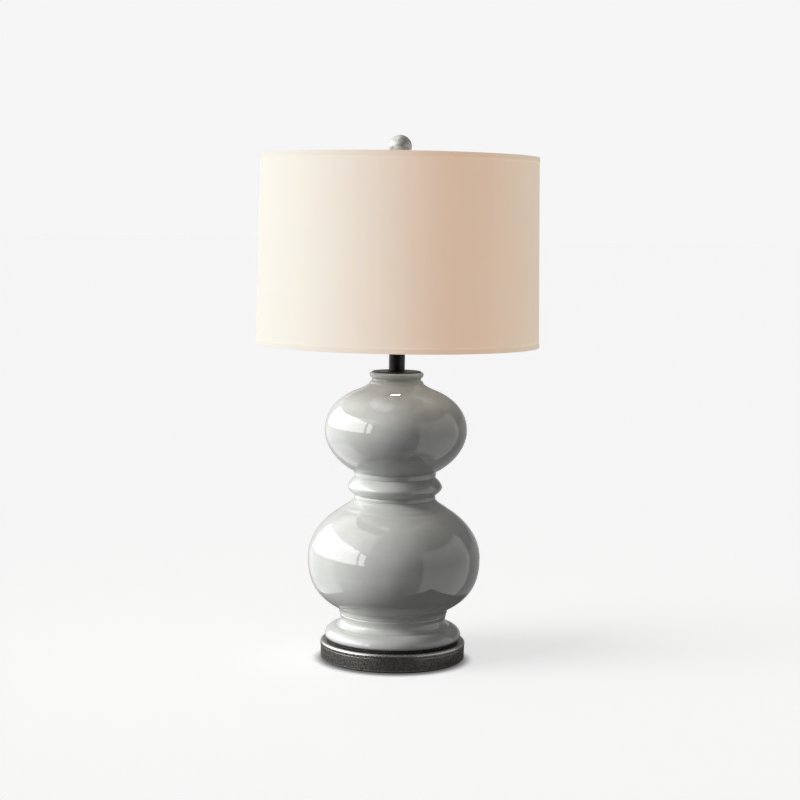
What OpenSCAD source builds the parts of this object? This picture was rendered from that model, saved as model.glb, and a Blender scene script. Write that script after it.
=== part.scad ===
// Table lamp: a double-gourd ceramic body on a round metal base, under a drum shade.
// The lamp stands on z = 0 and its axis is Z. Its front faces -Y, and the cord leaves at +Y.
// All sizes are in millimetres.

/* [Metal base] */
// Outer radius of the base
base_r = 104.8; // [102:0.1:112]
// Height of the base's flat top above the floor
base_top = 27; // [25:0.5:32]
// Thickness of the felt pad under the base
felt_t = 1.5; // [1:0.1:2]
// Radius of the hole for the cord, inside its bushing
cord_hole_r = 4; // [3:0.1:4.5]

/* [Ceramic body] */
// Height of the ceramic body, from the underside of its foot to its mouth
body_h = 386; // [384:1:394]
// Thickness of the ceramic wall
wall = 6; // [4:0.5:8]
// Widest radius of the foot
foot_r = 98.5; // [96:0.1:100]
// Radius of the short neck above the foot
foot_neck_r = 76.2; // [74:0.1:78]
// Widest radius of the lower bulb
lower_r = 124.2; // [118:0.1:132]
// Height of the lower bulb's widest point above the foot's underside
lower_h = 118.7; // [117:0.1:120]
// Widest radius of the ring between the bulbs
ring_r = 68.4; // [65:0.1:72]
// Height of the ring's edge above the foot's underside
ring_h = 220.8; // [219:0.1:222]
// Radius of the collars above and below the ring
collar_r = 58.4; // [56:0.1:60]
// Widest radius of the upper bulb
upper_r = 102.2; // [96:0.1:108]
// Height of the upper bulb's widest point above the foot's underside
upper_h = 301.9; // [300:0.1:303]
// Radius of the lip at the mouth
lip_r = 39.1; // [38:0.1:41]

/* [Neck, harp and socket] */
// Radius of the neck tube
neck_r = 11.5; // [10:0.1:13]
// Height of the neck tube
neck_h = 55.5; // [50:0.5:65]
// Radius of the threaded lamp pipe
pipe_r = 4.85; // [4.7:0.05:5]
// Height of the harp, from the saddle's underside to its top
harp_h = 228.5; // [222:0.5:240]
// Half of the harp's greatest width
harp_half_w = 57; // [52:0.5:62]
// Radius of the harp's wire
harp_wire_r = 2.2; // [2:0.1:2.4]
// Outer radius of the socket's shell
socket_r = 16.6; // [16.5:0.1:17]

/* [Bulb] */
// Widest radius of the bulb
bulb_r = 30; // [28:0.5:32]
// Length of the bulb, from its contact to the top of its globe
bulb_len = 110; // [104:1:116]
// Radius of the bulb's screw cap
cap_r = 13.1; // [13:0.05:13.2]

/* [Shade] */
// Outer radius of the shade at its bottom rim
shade_bottom_r = 203.2; // [195:0.1:212]
// Outer radius of the shade at its top rim
shade_top_r = 198.2; // [190:0.1:203]
// Height of the shade
shade_h = 268.7; // [255:0.1:275]
// How far the spider's hub lies below the top rim
hub_drop = 14.9; // [14:0.1:20]
// Width of the trim band at each rim
trim_w = 7.5; // [5:0.1:10]

/* [Finial] */
// Radius of the finial's ball
finial_r = 16.4; // [14:0.1:18]

/* [Hidden] */
$fn = 96;

// Small amounts: a cut's overshoot, then clearances for running parts, for loose fits and for close fits
over = 1;
running = 0.08;
loose = 0.25;
fit = 0.05;

// Levels, from the floor up
gasket_t = 3;
foot_z = base_top + gasket_t;
mouth_z = foot_z + body_h;
vase_cap_rise = 2.5;
neck_z = mouth_z + vase_cap_rise;
neck_top_z = neck_z + neck_h;
neck_washer_t = 1.5;
saddle_z = neck_top_z + neck_washer_t;
saddle_t = 1.6;
saddle_nut_t = 3;
socket_z = saddle_z + saddle_t + saddle_nut_t;
harp_top_z = saddle_z + harp_h;
swivel_t = 5;
hub_z = harp_top_z + swivel_t;
shade_top_z = hub_z + hub_drop;
shade_bottom_z = shade_top_z - shade_h;

// Base
base_roof_t = 7;
base_side_t = 7.5;
base_edge_r = 3.5;
base_foot_edge_r = 1.5;
base_bead_h = 6.6;
base_groove = 0.6;
base_taper = 0.7;
roof_z = base_top - base_roof_t;
pipe_hole_r = pipe_r + loose;
cord_z = 11;
bushing_seat_y = base_r - 1.5;
bushing_flange_r = 8;
bushing_flange_t = 1.5;
bushing_wall = 1.5;
bushing_len = base_side_t + 3;

// Pipe and its hardware under the roof of the base
pipe_bore_r = 3.1;
pipe_z = 9.5;
pipe_top_z = socket_z + 7;
flat_washer_t = 1.6;
flat_washer_r = 14;
lock_washer_t = 1.8;
lock_washer_r = 8.2;
split_w = 1.6;
nut_t = 4.5;
nut_r = 9.2;

// Ceramic body
upper_rise = 67.6;
upper_fall = 74;
upper_rise_power = 2.17;
upper_fall_power = 1.93;
lower_rise = 90.5;
lower_fall = 86.3;
lower_rise_power = 1.95;
lower_fall_power = 2.53;
mouth_r = 33;
lip_round = 3;
collar_bore_r = collar_r - wall;
vase_cap_r = 35.2;
vase_cap_t = 1.4;
vase_cap_skirt = 6;

// Harp: a leg, an outward bend, a long arc and a tight top corner on each side
leg_x = 31;
leg_z = saddle_z + 24;
leg_bend_r = 40;
bow_r = 120;
corner_r = 15;
pad_half = 9;
pad_r = 7.5;
bow_x = harp_half_w - bow_r;
corner_a = acos((pad_half - bow_x) / (bow_r - corner_r));
bow_z = harp_top_z - harp_wire_r - corner_r - (bow_r - corner_r) * sin(corner_a);
bend_a = acos((leg_x + leg_bend_r - bow_x) / (leg_bend_r + bow_r));
bend_z = bow_z - (leg_bend_r + bow_r) * sin(bend_a);
ferrule_r = 4.3;
ferrule_h = 20;
ferrule_z = leg_z - 11;
saddle_w = 15;
post_z = saddle_z + 10;

// Swivel stud at the harp's top, and the finial's thread
stud_r = 3.175;
stud_pin_r = 2.3;
stud_head_r = 4.2;
stud_head_t = 2.2;
stud_top_z = hub_z + 12;
finial_z = hub_z + 28;
finial_flat_z = finial_z - 0.945 * finial_r;
insert_z = hub_z + 2.6;
insert_r = 4.8;
insert_top_z = finial_z - 2;

// Socket
socket_cap_h = 19;
shell_z = socket_z + 16.5;
shell_top_z = socket_z + 58;
socket_rim_z = shell_top_z - 1;
shell_t = 0.7;
liner_r = socket_r - shell_t - 0.15;
liner_t = 0.6;
interior_r = liner_r - liner_t - 0.15;
interior_z = socket_z + 20;
interior_top_z = socket_z + 34;
screw_shell_r = interior_r - 0.4;
screw_shell_t = 0.5;
screw_x = interior_r - 3;
screw_z = interior_z + 5;
screw_r = 1.5;
contact_t = 2.4;
switch_z = interior_z + 9;
shaft_r = 2.4;
shaft_hole_r = shaft_r + 0.8;
shaft_y = -8;
shaft_len = 26;
knob_r = 5.6;
knob_y = -25;
knob_len = 13;
knob_ribs = 12;

// Bulb
tip_z = interior_top_z + contact_t + 0.2;
tip_r = 4.5;
tip_t = 2.2;
cap_z = tip_z + tip_t;
cap_cone_h = 3.5;
cap_h = 25;
cap_t = 0.4;
housing_z = cap_z + cap_h;
housing_h = 30;
housing_t = 1.4;
globe_z = housing_z + housing_h;
globe_top_z = tip_z + bulb_len;
globe_t = 1.2;
board_t = 1.6;

// Shade
fabric_t = 0.5;
liner_skin_t = 0.8;
trim_t = 0.5;
wire_r = 2.2;
rim_t = 2 * trim_t + fabric_t + liner_skin_t;
ring_inset = trim_t + wire_r;
hub_r = 13;
hub_t = 2.5;
arm_r = 2;
arm_bend_r = 7;
arm_count = 3;
seam_half_w = 6;
seam_depth = 0.2;
shade_slope = (shade_bottom_r - shade_top_r) / shade_h;

// Outer radius of the shade's trims at height z
function shade_r(z) = shade_top_r + (shade_top_z - z) * shade_slope;
top_ring_z = shade_top_z - ring_inset - 1.7;
top_ring_r = shade_r(top_ring_z) - rim_t - wire_r - 2 * fit;
bottom_ring_z = shade_bottom_z + ring_inset + 1.6;
bottom_ring_r = shade_r(bottom_ring_z) - rim_t - wire_r - 2 * fit;

// Points on an elliptic arc about c with radii r = [across, up], from angle a0 to a1
function arc(c, r, a0, a1, n) =
    [for (i = [0:n]) let (a = a0 + (a1 - a0) * i / n) c + [r.x * cos(a), r.y * sin(a)]];

// Points on a curve from p0 to p2 that is drawn towards p1
function curve(p0, p1, p2, n) =
    [for (i = [0:n]) let (t = i / n) (1 - t) * (1 - t) * p0 + 2 * t * (1 - t) * p1 + t * t * p2];

// One quarter of a bulb's outline about height h, from angle a0 to a1 (positive is above the middle).
// power is 2 for an ellipse, and more for a squarer shoulder.
function bulb_quarter(r, h, reach, power, a0, a1, n) = [
    for (i = [0:n])
        let (a = a0 + (a1 - a0) * i / n)
        [r * pow(cos(a), 2 / power), h + sign(a) * reach * pow(abs(sin(a)), 2 / power)]
];

// The angle at which a bulb of radius r has narrowed to radius end_r
function bulb_angle(r, power, end_r) = acos(pow(end_r / r, power / 2));

// A bulb's outline from the top down, between two end radii. steps is the count for each half.
function bulb(r, h, rise, fall, rise_power, fall_power, top_r, bottom_r, steps) = concat(
    bulb_quarter(r, h, rise, rise_power, bulb_angle(r, rise_power, top_r), 0, steps),
    bulb_quarter(r, h, fall, fall_power, -90 / (6 * steps), -bulb_angle(r, fall_power, bottom_r), steps - 1)
);

function reversed(list) = [for (i = [len(list) - 1:-1:0]) list[i]];

// Outline of the ceramic body's outside, from the mouth down to the underside of the foot
body_outside = concat(
    [[mouth_r, body_h]],
    arc([lip_r - lip_round, body_h - lip_round], [lip_round, lip_round], 90, -35, 6),
    curve([lip_r - 1.2, body_h - 6.4], [lip_r - 6.9, body_h - 10.6], [lip_r - 0.9, body_h - 13.6], 6),
    arc([lip_r - 1.6, body_h - 15.3], [1.2, 1.2], 80, -35, 4),
    curve([lip_r + 0.5, body_h - 17.1], [lip_r + 5.7, body_h - 21.1], [lip_r + 13.9, upper_h + 59.6], 5),
    bulb(upper_r, upper_h, upper_rise, upper_fall, upper_rise_power, upper_fall_power, lip_r + 15.5,
         collar_r + 2, 15),
    [[collar_r + 0.8, ring_h + 20.4]],
    curve([collar_r + 1, ring_h + 19.4], [collar_r + 0.6, ring_h + 16.6], [collar_r + 0.4, ring_h + 14.8], 3),
    [[collar_r - 0.5, ring_h + 14]],
    curve([collar_r + 0.5, ring_h + 13.1], [ring_r - 1.9, ring_h + 6.8], [ring_r, ring_h + 0.4], 6),
    curve([ring_r, ring_h - 0.6], [ring_r - 1.2, ring_h - 5.6], [collar_r + 0.5, ring_h - 11.4], 6),
    [[collar_r - 0.3, ring_h - 12.4], [collar_r + 0.5, ring_h - 13.4], [collar_r + 0.5, ring_h - 16.8],
     [collar_r - 0.2, ring_h - 17.7]],
    curve([collar_r + 1.1, ring_h - 18.6], [collar_r + 3.4, ring_h - 22.4],
          [collar_r + 15.6, lower_h + 72.4], 5),
    bulb(lower_r, lower_h, lower_rise, lower_fall, lower_rise_power, lower_fall_power, collar_r + 18,
         foot_neck_r + 4.3, 15),
    [[foot_neck_r + 2.7, 40.5], [foot_neck_r + 1.9, 37.6], [foot_neck_r + 0.9, 36.7],
     [foot_neck_r + 1.5, 35.8]],
    curve([foot_neck_r + 1.1, 34], [foot_neck_r - 0.7, 28.5], [foot_neck_r + 0.7, 25.2], 4),
    [[foot_neck_r + 1.4, 24.2], [foot_neck_r + 1.8, 23.2], [foot_neck_r + 3.4, 21.4]],
    arc([foot_r - 17, 4.6], [17, 14], 88, 0, 9),
    arc([foot_r - 6.5, 4.6], [6.5, 4.6], -12, -90, 5)
);

// Outline of its inside, from the foot up to the mouth
body_inside = concat(
    [[foot_r - 9.5, 0], [foot_r - 9, 6], [foot_neck_r - 1, 15], [foot_neck_r - wall, 24],
     [foot_neck_r - wall, 38]],
    reversed(bulb(lower_r - wall, lower_h, lower_rise - wall, lower_fall - wall, lower_rise_power,
                  lower_fall_power, collar_bore_r + 4, foot_neck_r - wall + 6, 9)),
    [[collar_bore_r, ring_h - 20], [collar_bore_r, ring_h + 24]],
    reversed(bulb(upper_r - wall, upper_h, upper_rise - wall, upper_fall - wall, upper_rise_power,
                  upper_fall_power, mouth_r + 6, collar_bore_r + 4, 9)),
    [[mouth_r - 1.5, body_h - 24], [mouth_r - 1.5, body_h - 8], [mouth_r, body_h - 7]]
);

// A solid of revolution about Z from an outline of [radius, height] points
module turned(outline) {
    rotate_extrude() polygon(outline);
}

// A disc with a hole, standing on z = 0
module washer(outer_r, inner_r, thickness) {
    difference() {
        cylinder(r = outer_r, h = thickness);
        translate([0, 0, -over]) cylinder(r = inner_r, h = thickness + 2 * over);
    }
}

// A hexagonal nut, standing on z = 0
module hex_nut(corner_r, inner_r, thickness) {
    difference() {
        cylinder(r = corner_r, h = thickness, $fn = 6);
        translate([0, 0, -over]) cylinder(r = inner_r, h = thickness + 2 * over);
    }
}

// A bent wire in the XZ plane: an arc about the origin from angle a0 to a1
module wire_arc(radius, wire, a0, a1) {
    rotate([90, 0, 0]) rotate([0, 0, a0]) rotate_extrude(angle = a1 - a0)
        translate([radius, 0]) circle(r = wire);
}

// A closed wire ring about Z
module wire_ring(radius, wire) {
    rotate_extrude() translate([radius, 0]) circle(r = wire, $fn = 24);
}

// A skin of the shade between heights low and high, from depth inner to depth outer inside the trims
module shade_skin(low, high, inner, outer) {
    turned([
        [shade_r(low) - inner, low], [shade_r(low) - outer, low],
        [shade_r(high) - outer, high], [shade_r(high) - inner, high]
    ]);
}

// A trim band folded over a rim: edge is the rim's height, and inward is +1 at the bottom rim, -1 at the top
module rim_trim(edge, inward) {
    outer_t = trim_t - fit;
    inner_t = rim_t - trim_t + fit;
    fold = edge + inward * outer_t;
    end = edge + inward * trim_w;
    turned([
        [shade_r(edge), edge], [shade_r(end), end], [shade_r(end) - outer_t, end],
        [shade_r(fold) - outer_t, fold], [shade_r(fold) - inner_t, fold],
        [shade_r(end) - inner_t, end], [shade_r(end) - rim_t, end], [shade_r(edge) - rim_t, edge]
    ]);
}

module base_plate() {
    side_z = base_top - base_bead_h;
    color([0.16, 0.15, 0.14]) difference() {
        turned(concat(
            [[0, base_top]],
            arc([base_r - base_edge_r, base_top - base_edge_r], [base_edge_r, base_edge_r], 90, 0, 8),
            [[base_r, side_z + base_groove], [base_r - base_groove, side_z],
             [base_r - 0.4, side_z - base_groove]],
            arc([base_r - base_taper - base_foot_edge_r, felt_t + base_foot_edge_r],
                [base_foot_edge_r, base_foot_edge_r], 0, -90, 4),
            [[base_r - base_side_t, felt_t], [base_r - base_side_t, roof_z], [0, roof_z]]
        ));
        cylinder(r = pipe_hole_r, h = base_top + over);
        translate([0, 0, cord_z]) rotate([-90, 0, 0]) {
            cylinder(r = cord_hole_r + bushing_wall, h = base_r + over);
            translate([0, 0, bushing_seat_y]) cylinder(r = bushing_flange_r + 0.4, h = base_r);
        }
    }
}

module base_felt_pad() {
    color([0.1, 0.1, 0.1]) cylinder(r = base_r - base_taper - base_foot_edge_r - 1, h = felt_t);
}

module cord_bushing() {
    barrel_r = cord_hole_r + bushing_wall;
    color([0.06, 0.06, 0.06]) translate([0, bushing_seat_y, cord_z]) rotate([-90, 0, 0]) difference() {
        turned([
            [0, -bushing_len], [barrel_r - 0.8, -bushing_len], [barrel_r, -bushing_len + 1.2], [barrel_r, 0],
            [bushing_flange_r, 0], [bushing_flange_r, bushing_flange_t - 0.5],
            [bushing_flange_r - 0.5, bushing_flange_t], [0, bushing_flange_t]
        ]);
        translate([0, 0, -bushing_len - over])
            cylinder(r = cord_hole_r, h = bushing_len + bushing_flange_t + 2 * over);
    }
}

module rod_bottom_nut() {
    color([0.72, 0.6, 0.3]) translate([0, 0, roof_z - flat_washer_t - lock_washer_t - nut_t])
        hex_nut(nut_r, pipe_hole_r, nut_t);
}

// The lock washer is split and slightly sprung: its gap is cut at the side
module rod_lock_washer() {
    color([0.6, 0.6, 0.6]) translate([0, 0, roof_z - flat_washer_t - lock_washer_t]) difference() {
        washer(lock_washer_r, pipe_hole_r, lock_washer_t);
        translate([0, -split_w / 2, -over]) rotate([0, 0, 12])
            cube([lock_washer_r + over, split_w, lock_washer_t + 2 * over]);
    }
}

module rod_flat_washer() {
    color([0.65, 0.65, 0.65]) translate([0, 0, roof_z - flat_washer_t])
        washer(flat_washer_r, pipe_hole_r, flat_washer_t);
}

module threaded_rod() {
    color([0.7, 0.7, 0.7]) translate([0, 0, pipe_z]) washer(pipe_r, pipe_bore_r, pipe_top_z - pipe_z);
}

module foot_gasket() {
    color([0.08, 0.08, 0.08]) translate([0, 0, base_top]) washer(foot_r - 4, foot_r - 9, gasket_t);
}

module ceramic_body() {
    color([0.76, 0.77, 0.75]) translate([0, 0, foot_z]) turned(concat(body_outside, body_inside));
}

module vase_cap() {
    boss_r = neck_r + 2;
    skirt_r = mouth_r - 0.5;
    top = vase_cap_rise;
    color([0.07, 0.07, 0.07]) translate([0, 0, mouth_z]) difference() {
        turned(concat(
            [[0, top], [boss_r, top]],
            curve([boss_r + 1, top - 0.2], [vase_cap_r - 8, vase_cap_t + 0.2],
                [vase_cap_r - 1, vase_cap_t], 5),
            [[vase_cap_r, vase_cap_t - 0.6], [vase_cap_r, 0], [skirt_r, 0], [skirt_r, -vase_cap_skirt],
             [skirt_r - 1.5, -vase_cap_skirt], [skirt_r - 1.5, 0], [0, 0]]
        ));
        translate([0, 0, -over]) cylinder(r = pipe_hole_r, h = top + 2 * over);
    }
}

module neck_tube() {
    color([0.05, 0.05, 0.05]) translate([0, 0, neck_z]) washer(neck_r, neck_r - 1.2, neck_h);
}

module neck_washer() {
    color([0.05, 0.05, 0.05]) translate([0, 0, neck_top_z]) washer(neck_r + 1.5, pipe_hole_r, neck_washer_t);
}

// A strip bent up at both ends, with a round post at each end that the harp's legs stand on
module harp_saddle() {
    post_len = leg_z - post_z;
    color([0.5, 0.42, 0.25]) difference() {
        union() {
            translate([-leg_x - saddle_t / 2, -saddle_w / 2, saddle_z])
                cube([2 * leg_x + saddle_t, saddle_w, saddle_t]);
            for (side = [-1, 1]) {
                translate([side * leg_x - saddle_t / 2, -saddle_w / 4, saddle_z])
                    cube([saddle_t, saddle_w / 2, post_z - saddle_z + 2]);
                translate([side * leg_x, 0, post_z]) cylinder(r = harp_wire_r, h = post_len);
            }
        }
        translate([0, 0, saddle_z - over]) cylinder(r = pipe_hole_r, h = saddle_t + 2 * over);
    }
}

module saddle_nut() {
    color([0.72, 0.6, 0.3]) translate([0, 0, saddle_z + saddle_t]) hex_nut(8.6, pipe_hole_r, saddle_nut_t);
}

// A smooth weld where two lengths of the harp's wire meet
module weld(at) {
    translate(at) sphere(r = harp_wire_r + 0.08, $fn = 48);
}

module harp_side() {
    corner_z = harp_top_z - harp_wire_r - corner_r;
    translate([leg_x, 0, leg_z]) cylinder(r = harp_wire_r, h = bend_z - leg_z);
    translate([leg_x + leg_bend_r, 0, bend_z]) wire_arc(leg_bend_r, harp_wire_r, 180 - bend_a, 180);
    translate([bow_x, 0, bow_z]) wire_arc(bow_r, harp_wire_r, -bend_a, corner_a);
    translate([pad_half, 0, corner_z]) wire_arc(corner_r, harp_wire_r, corner_a, 90);
    weld([leg_x, 0, bend_z]);
    weld([bow_x + bow_r * cos(bend_a), 0, bow_z - bow_r * sin(bend_a)]);
    weld([bow_x + bow_r * cos(corner_a), 0, bow_z + bow_r * sin(corner_a)]);
    weld([pad_half, 0, harp_top_z - harp_wire_r]);
}

module harp_bow() {
    pad_t = 2 * harp_wire_r;
    color([0.5, 0.42, 0.25]) difference() {
        union() {
            harp_side();
            mirror([1, 0, 0]) harp_side();
            translate([-pad_half, 0, harp_top_z - harp_wire_r]) rotate([0, 90, 0])
                cylinder(r = harp_wire_r, h = 2 * pad_half);
            translate([0, 0, harp_top_z - pad_t]) cylinder(r = pad_r, h = pad_t);
        }
        translate([0, 0, harp_top_z - pad_t - over]) cylinder(r = stud_pin_r + running, h = pad_t + 2 * over);
    }
}

// A ferrule slides on a harp leg and locks it to the saddle's post
module harp_ferrule(side) {
    bore_r = harp_wire_r + running;
    color([0.5, 0.42, 0.25]) translate([side * leg_x, 0, ferrule_z]) difference() {
        turned([
            [0, 0], [ferrule_r - 0.6, 0], [ferrule_r, 0.6], [ferrule_r, ferrule_h - 4],
            [ferrule_r - 1.2, ferrule_h], [0, ferrule_h]
        ]);
        translate([0, 0, -over]) cylinder(r = bore_r, h = ferrule_h + 2 * over);
    }
}

module harp_ferrule_left() {
    harp_ferrule(-1);
}

module harp_ferrule_right() {
    harp_ferrule(1);
}

module socket_cap() {
    rim_r = socket_r + 1;
    inside_r = socket_r + 0.2;
    color([0.78, 0.62, 0.3]) translate([0, 0, socket_z]) difference() {
        turned(concat(
            [[0, 0], [8, 0], [8, 6]],
            curve([9.5, 7], [rim_r, 7.5], [rim_r, 14], 6),
            [[rim_r, socket_cap_h], [inside_r, socket_cap_h]],
            curve([inside_r, 14], [inside_r, 8.8], [9, 8.4], 5),
            [[0, 8.4]]
        ));
        translate([0, 0, -over]) cylinder(r = pipe_hole_r, h = 12);
    }
}

module socket_shell() {
    bead_z = shell_top_z - shell_z;
    bead_t = 0.6;
    color([0.78, 0.62, 0.3]) translate([0, 0, shell_z]) difference() {
        turned([
            [socket_r - shell_t, 0], [socket_r, 0], [socket_r, bead_z - 4],
            [socket_r + bead_t, bead_z - 3.2], [socket_r + bead_t, bead_z - 1.8],
            [socket_r, bead_z - 1], [socket_r, bead_z], [socket_r - shell_t, bead_z]
        ]);
        translate([0, 0, switch_z - shell_z]) rotate([90, 0, 0])
            cylinder(r = shaft_hole_r, h = socket_r + over);
    }
}

module socket_liner() {
    low_z = shell_z + 0.5;
    color([0.7, 0.6, 0.42]) translate([0, 0, low_z]) difference() {
        washer(liner_r, liner_r - liner_t, socket_rim_z - low_z);
        translate([0, 0, switch_z - low_z]) rotate([90, 0, 0])
            cylinder(r = shaft_hole_r, h = socket_r + over);
    }
}

// A moulded block with a flat on each side for its terminal screws
module socket_interior() {
    height = interior_top_z - interior_z;
    color([0.12, 0.11, 0.1]) translate([0, 0, interior_z]) difference() {
        cylinder(r = interior_r, h = height);
        for (side = [-1, 1]) {
            translate([side * (screw_x + 10), 0, 5]) cube([20, 40, 12], center = true);
            translate([side * (screw_x - 6), 0, screw_z - interior_z]) rotate([0, side * 90, 0])
                cylinder(r = screw_r + 0.1, h = 10);
        }
        translate([0, shaft_y, switch_z - interior_z]) rotate([90, 0, 0])
            cylinder(r = shaft_r + running, h = interior_r);
    }
}

module socket_screw_shell() {
    color([0.82, 0.82, 0.84]) translate([0, 0, interior_top_z])
        washer(screw_shell_r, screw_shell_r - screw_shell_t, socket_rim_z - interior_top_z);
}

module socket_contact() {
    color([0.8, 0.62, 0.28]) translate([0, 0, interior_top_z]) cylinder(r = 3.5, h = contact_t);
}

module terminal_screws() {
    color([0.8, 0.66, 0.34]) for (side = [-1, 1])
        translate([side * screw_x, 0, screw_z]) rotate([0, side * 90, 0]) {
            difference() {
                cylinder(r = 3.4, h = 1.8);
                translate([0, 0, 1.5]) cube([8, 0.9, 1.4], center = true);
            }
            translate([0, 0, -5]) cylinder(r = screw_r, h = 5.2);
        }
}

module switch_shaft() {
    color([0.75, 0.6, 0.3]) translate([0, shaft_y, switch_z]) rotate([90, 0, 0])
        cylinder(r = shaft_r, h = shaft_len);
}

module switch_knob() {
    color([0.06, 0.06, 0.06]) translate([0, knob_y, switch_z]) rotate([90, 0, 0]) difference() {
        turned([
            [0, 0], [knob_r - 1.2, 0], [knob_r, 2.5], [knob_r, knob_len - 1],
            [knob_r - 1, knob_len], [0, knob_len]
        ]);
        translate([0, 0, -over]) cylinder(r = shaft_r, h = shaft_len + knob_y - shaft_y + over);
        for (i = [0:knob_ribs - 1]) rotate([0, 0, i * 360 / knob_ribs])
            translate([knob_r + 0.3, 0, 3]) cylinder(r = 0.8, h = knob_len);
    }
}

module bulb_contact() {
    color([0.7, 0.7, 0.68]) translate([0, 0, tip_z])
        turned([[0, 0], [tip_r - 1.6, 0], [tip_r, 1], [tip_r, tip_t], [0, tip_t]]);
}

module bulb_screw_cap() {
    color([0.8, 0.8, 0.82]) translate([0, 0, cap_z + 0.2]) turned([
        [tip_r + 0.3, 0], [tip_r + 2, 0], [cap_r, cap_cone_h], [cap_r, cap_h - 0.2],
        [cap_r - cap_t, cap_h - 0.2], [cap_r - cap_t, cap_cone_h + 0.4], [tip_r + 2, 0.6], [tip_r + 0.3, 0.6]
    ]);
}

module bulb_housing() {
    top_r = bulb_r - 0.8;
    color([0.95, 0.95, 0.94]) translate([0, 0, housing_z]) turned(concat(
        [[cap_r - 2, 0]],
        curve([cap_r + 0.6, 0], [cap_r + 2.5, 14], [top_r, housing_h], 9),
        [[top_r - housing_t, housing_h]],
        curve([top_r - housing_t - 1, housing_h - 1.4], [cap_r + 1, 14], [cap_r - 2, 3], 6)
    ));
}

module bulb_led_board() {
    color([0.9, 0.9, 0.88]) translate([0, 0, globe_z - 4]) cylinder(r = bulb_r - 8, h = board_t);
}

module bulb_diffuser() {
    rise = globe_top_z - globe_z;
    waist_r = bulb_r - 0.8;
    belly_h = 10;
    color([0.97, 0.96, 0.92]) translate([0, 0, globe_z]) turned(concat(
        [[waist_r - globe_t, 0]],
        curve([waist_r, 0], [bulb_r, belly_h / 2], [bulb_r, belly_h], 3),
        arc([0, belly_h], [bulb_r, rise - belly_h], 6, 90, 14),
        arc([0, belly_h], [bulb_r - globe_t, rise - belly_h - globe_t], 90, 0, 12)
    ));
}

// Swivels in the pad at the harp's top: a peened head below, a shoulder for the hub, and the finial's thread
module harp_stud() {
    head_top_z = harp_top_z - 2 * harp_wire_r - running;
    head_z = head_top_z - stud_head_t;
    shoulder_z = harp_top_z + running;
    shoulder_r = pad_r - 1;
    color([0.8, 0.66, 0.34]) turned([
        [0, head_z], [stud_head_r - 0.6, head_z], [stud_head_r, head_z + 0.8], [stud_head_r, head_top_z],
        [stud_pin_r, head_top_z], [stud_pin_r, shoulder_z], [shoulder_r, shoulder_z],
        [shoulder_r, hub_z - 0.5], [shoulder_r - 0.5, hub_z],
        [stud_r, hub_z], [stud_r, stud_top_z - 0.6], [stud_r - 0.6, stud_top_z], [0, stud_top_z]
    ]);
}

// A hub and arms that bend up to the shade's top ring
module shade_spider() {
    arm_z = hub_z + hub_t / 2;
    bend_x = top_ring_r - arm_bend_r;
    rise_z = arm_z + arm_bend_r;
    root = 3;
    color([0.75, 0.75, 0.75]) difference() {
        union() {
            translate([0, 0, hub_z]) cylinder(r = hub_r, h = hub_t);
            for (i = [0:arm_count - 1]) rotate([0, 0, 90 + i * 360 / arm_count]) {
                translate([hub_r - root, 0, arm_z]) rotate([0, 90, 0])
                    cylinder(r = arm_r, h = bend_x - hub_r + root, $fn = 24);
                translate([bend_x, 0, rise_z]) wire_arc(arm_bend_r, arm_r, -90, 0);
                translate([top_ring_r, 0, rise_z])
                    cylinder(r = arm_r, h = top_ring_z - rise_z - wire_r / 2, $fn = 24);
            }
        }
        translate([0, 0, hub_z - over]) cylinder(r = stud_r + loose, h = hub_t + 2 * over);
        translate([0, 0, top_ring_z]) wire_ring(top_ring_r, wire_r + fit);
    }
}

module shade_top_ring() {
    color([0.75, 0.75, 0.75]) translate([0, 0, top_ring_z]) wire_ring(top_ring_r, wire_r);
}

module shade_bottom_ring() {
    color([0.75, 0.75, 0.75]) translate([0, 0, bottom_ring_z]) wire_ring(bottom_ring_r, wire_r);
}

module shade_liner() {
    outer = trim_t + fabric_t + fit;
    color([0.98, 0.97, 0.94])
        shade_skin(shade_bottom_z + trim_t, shade_top_z - trim_t, trim_t + fabric_t + liner_skin_t, outer);
}

module shade_fabric() {
    color([0.96, 0.91, 0.83])
        shade_skin(shade_bottom_z + trim_t, shade_top_z - trim_t, trim_t + fabric_t, trim_t);
}

// The lap where the fabric's two ends meet, at the back
module shade_seam() {
    color([0.95, 0.9, 0.82]) intersection() {
        shade_skin(shade_bottom_z + trim_w, shade_top_z - trim_w, trim_t - fit, seam_depth);
        translate([-seam_half_w, 0, shade_bottom_z]) cube([2 * seam_half_w, shade_bottom_r + over, shade_h]);
    }
}

module shade_top_trim() {
    color([0.93, 0.88, 0.8]) rim_trim(shade_top_z, -1);
}

module shade_bottom_trim() {
    color([0.93, 0.88, 0.8]) rim_trim(shade_bottom_z, 1);
}

// A brass insert with a flared neck, held in the finial's ball
module finial_insert() {
    bore_top = stud_top_z + 2;
    color([0.8, 0.66, 0.34]) difference() {
        turned(concat(
            [[0, insert_z], [pad_r, insert_z], [pad_r, insert_z + 1.5]],
            curve([pad_r - 0.6, insert_z + 2], [insert_r - 0.5, insert_z + 3.5],
                [pad_r - 1, finial_flat_z - 0.6], 6),
            [[insert_r, finial_flat_z], [insert_r, insert_top_z], [0, insert_top_z]]
        ));
        translate([0, 0, insert_z - over]) cylinder(r = stud_r + running, h = bore_top - insert_z + over);
    }
}

module finial_ball() {
    below = finial_z - finial_r - over;
    color([0.85, 0.84, 0.82]) difference() {
        translate([0, 0, finial_z]) sphere(r = finial_r);
        translate([0, 0, below]) cylinder(r = finial_r, h = finial_flat_z - below);
        translate([0, 0, below]) cylinder(r = insert_r + running, h = insert_top_z + running - below);
    }
}

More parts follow.
